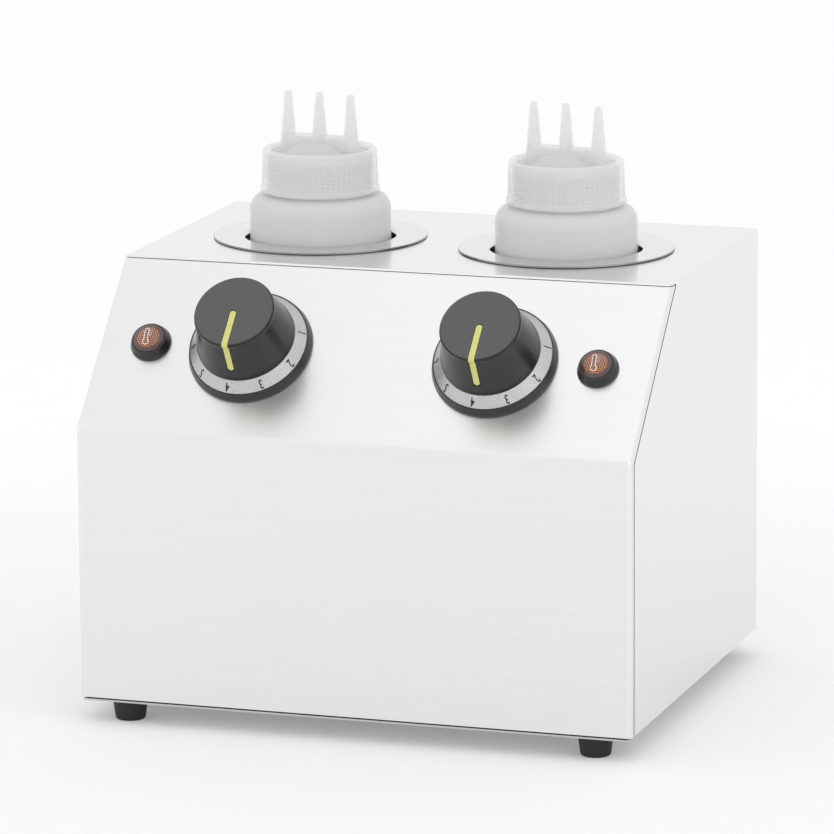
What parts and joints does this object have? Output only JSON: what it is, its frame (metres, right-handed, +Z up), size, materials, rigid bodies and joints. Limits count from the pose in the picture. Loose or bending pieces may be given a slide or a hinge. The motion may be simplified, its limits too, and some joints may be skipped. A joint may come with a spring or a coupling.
{
  "type": "hot fudge topping warmer",
  "caption": "Countertop twin topping warmer: stainless box with sloped thermostat panel and two heated wells, each holding a squeeze bottle with a three-nozzle cap.",
  "frame": {"origin": "middle of the whole object's footprint, on the surface that the feet stand on", "axes": "+Z up along the wells; +X across the front towards the right-hand well as seen from the front; +Y from the front to the rear panel"},
  "size_m": [0.3, 0.2643, 0.312],
  "materials": {
    "brushed_casing": "fine horizontal brushing, satin",
    "tray_steel": "plain mill finish",
    "foot_rubber": "matt black rubber",
    "zinc_fastener": "bright zinc plate",
    "terminal_ceramic": "glazed, off white",
    "gland_plastic": "moulded nylon, fine grain",
    "wire_silicone": "silicone sleeving",
    "well_steel": "drawn and polished, with fine circular marks",
    "gasket_rubber": "flat black seal",
    "heater_mica": "mica band in a metal jacket",
    "thermostat_plastic": "phenolic moulding",
    "bottle_plastic": "translucent milky polyethylene, smooth",
    "cap_plastic": "translucent natural polyethylene",
    "shaft_steel": "turned",
    "knob_plastic": "black moulding, soft satin gloss",
    "scale_metal": "fine matt silver ring",
    "pointer_paint": "pale yellow inlay",
    "lamp_black": "glossy black moulding",
    "lamp_nut_plastic": "natural nylon",
    "lamp_amber": "faceted clear amber lens",
    "copper_tube": "drawn copper"
  },
  "bodies": {
    "housing": {"base_tray": "tray_steel", "body_shell": "brushed_casing", "bulb_clip_left": "tray_steel", "bulb_clip_right": "tray_steel", "cable_gland": "gland_plastic", "dial_rim_left": "knob_plastic", "dial_rim_right": "knob_plastic", "dial_scale_left": "scale_metal", "dial_scale_right": "scale_metal", "earth_stud": "zinc_fastener", "foot_nuts": "zinc_fastener", "foot_screws": "zinc_fastener", "front_panel": "brushed_casing", "gland_nut": "gland_plastic", "heater_band_left": "heater_mica", "heater_band_right": "heater_mica", "heater_clamp_left": "zinc_fastener", "heater_clamp_right": "zinc_fastener", "heater_leads": "wire_silicone", "lamp_bezel_left": "lamp_black", "lamp_bezel_right": "lamp_black", "lamp_body_left": "lamp_black", "lamp_body_right": "lamp_black", "lamp_lens_left": "lamp_amber", "lamp_lens_right": "lamp_amber", "lamp_nut_left": "lamp_nut_plastic", "lamp_nut_right": "lamp_nut_plastic", "rear_panel": "brushed_casing", "rear_screws": "zinc_fastener", "rubber_feet": "foot_rubber", "sensor_bulb_left": "copper_tube", "sensor_bulb_right": "copper_tube", "terminal_block": "terminal_ceramic", "terminal_screws": "zinc_fastener", "thermal_cutout_left": "thermostat_plastic", "thermal_cutout_right": "thermostat_plastic", "thermostat_body_left": "thermostat_plastic", "thermostat_body_right": "thermostat_plastic", "thermostat_leads": "wire_silicone", "thermostat_screws": "zinc_fastener", "well_gasket_left": "gasket_rubber", "well_gasket_right": "gasket_rubber", "well_left": "well_steel", "well_retainer_left": "tray_steel", "well_retainer_right": "tray_steel", "well_right": "well_steel"},
    "knob_left": {"knob_left": "knob_plastic", "knob_pointer_left": "pointer_paint", "thermostat_shaft_left": "shaft_steel"},
    "bottle_left": {"bottle_left": "bottle_plastic"},
    "insert_left": {"nozzle_insert_left": "cap_plastic"},
    "collar_left": {"collar_left": "cap_plastic"},
    "knob_right": {"knob_right": "knob_plastic", "knob_pointer_right": "pointer_paint", "thermostat_shaft_right": "shaft_steel"},
    "bottle_right": {"bottle_right": "bottle_plastic"},
    "insert_right": {"nozzle_insert_right": "cap_plastic"},
    "collar_right": {"collar_right": "cap_plastic"}
  },
  "joints": [
    {"name": "knob_turn_left", "type": "hinge", "parent": "housing", "child": "knob_left", "pos_m": [-0.0663, -0.09335, 0.1959], "axis": [0, -0.7158, 0.6983], "range_deg": [-75, 144]},
    {"name": "bottle_lift_left", "type": "slide", "parent": "housing", "child": "bottle_left", "axis": [0, 0, 1], "range_m": [0, 0.162]},
    {"name": "cap_rise_left", "type": "slide", "parent": "bottle_left", "child": "insert_left", "axis": [0, 0, 1], "range_m": [0, 0.0172]},
    {"name": "collar_unscrew_left", "type": "hinge", "parent": "insert_left", "child": "collar_left", "pos_m": [-0.0686, 0.0248, 0.2597], "axis": [0, 0, 1], "range_deg": [0, 1440]},
    {"name": "knob_turn_right", "type": "hinge", "parent": "housing", "child": "knob_right", "pos_m": [0.0663, -0.09335, 0.1959], "axis": [0, -0.7158, 0.6983], "range_deg": [-75, 144]},
    {"name": "bottle_lift_right", "type": "slide", "parent": "housing", "child": "bottle_right", "axis": [0, 0, 1], "range_m": [0, 0.162]},
    {"name": "cap_rise_right", "type": "slide", "parent": "bottle_right", "child": "insert_right", "axis": [0, 0, 1], "range_m": [0, 0.0172]},
    {"name": "collar_unscrew_right", "type": "hinge", "parent": "insert_right", "child": "collar_right", "pos_m": [0.0686, 0.0248, 0.2597], "axis": [0, 0, 1], "range_deg": [0, 1440]}
  ],
  "couplings": [
    {"joint": "cap_rise_left", "follows": "collar_unscrew_left", "m_per_rad": 0.00068437},
    {"joint": "cap_rise_right", "follows": "collar_unscrew_right", "m_per_rad": 0.00068437}
  ]
}
